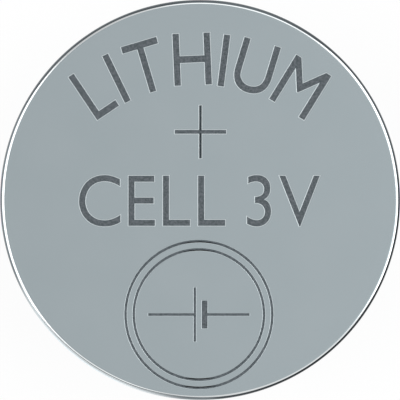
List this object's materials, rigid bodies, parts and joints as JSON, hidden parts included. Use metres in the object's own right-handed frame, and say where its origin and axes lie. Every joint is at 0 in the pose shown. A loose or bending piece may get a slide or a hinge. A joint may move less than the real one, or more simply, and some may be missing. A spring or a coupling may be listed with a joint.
{
  "type": "coin cell battery",
  "caption": "Thick lithium coin cell: crimped steel can, moulded gasket, stepped negative cap, and the pellet, ring, separator and lithium disc sealed inside.",
  "frame": {"origin": "centre of the negative contact face, on the plane that the cell rests on", "axes": "+Z along the cell's axis from the negative face to the positive face; +Y points to the top of the marks on the positive face"},
  "size_m": [0.0244, 0.0244, 0.0077],
  "materials": {
    "can_steel": "satin nickel-plated steel",
    "cap_steel": "matt nickel-plated steel",
    "gasket_plastic": "moulded polypropylene",
    "cathode_mix": "pressed powder",
    "ring_steel": "bright stainless steel",
    "separator_fleece": "white polypropylene fleece",
    "lithium": "soft rolled metal with a faint film"
  },
  "bodies": {
    "root": {"positive_can": "can_steel", "sealing_gasket": "gasket_plastic", "negative_cap": "cap_steel", "cathode_pellet": "cathode_mix", "cathode_ring": "ring_steel", "separator": "separator_fleece", "lithium_anode": "lithium"}
  },
  "joints": []
}
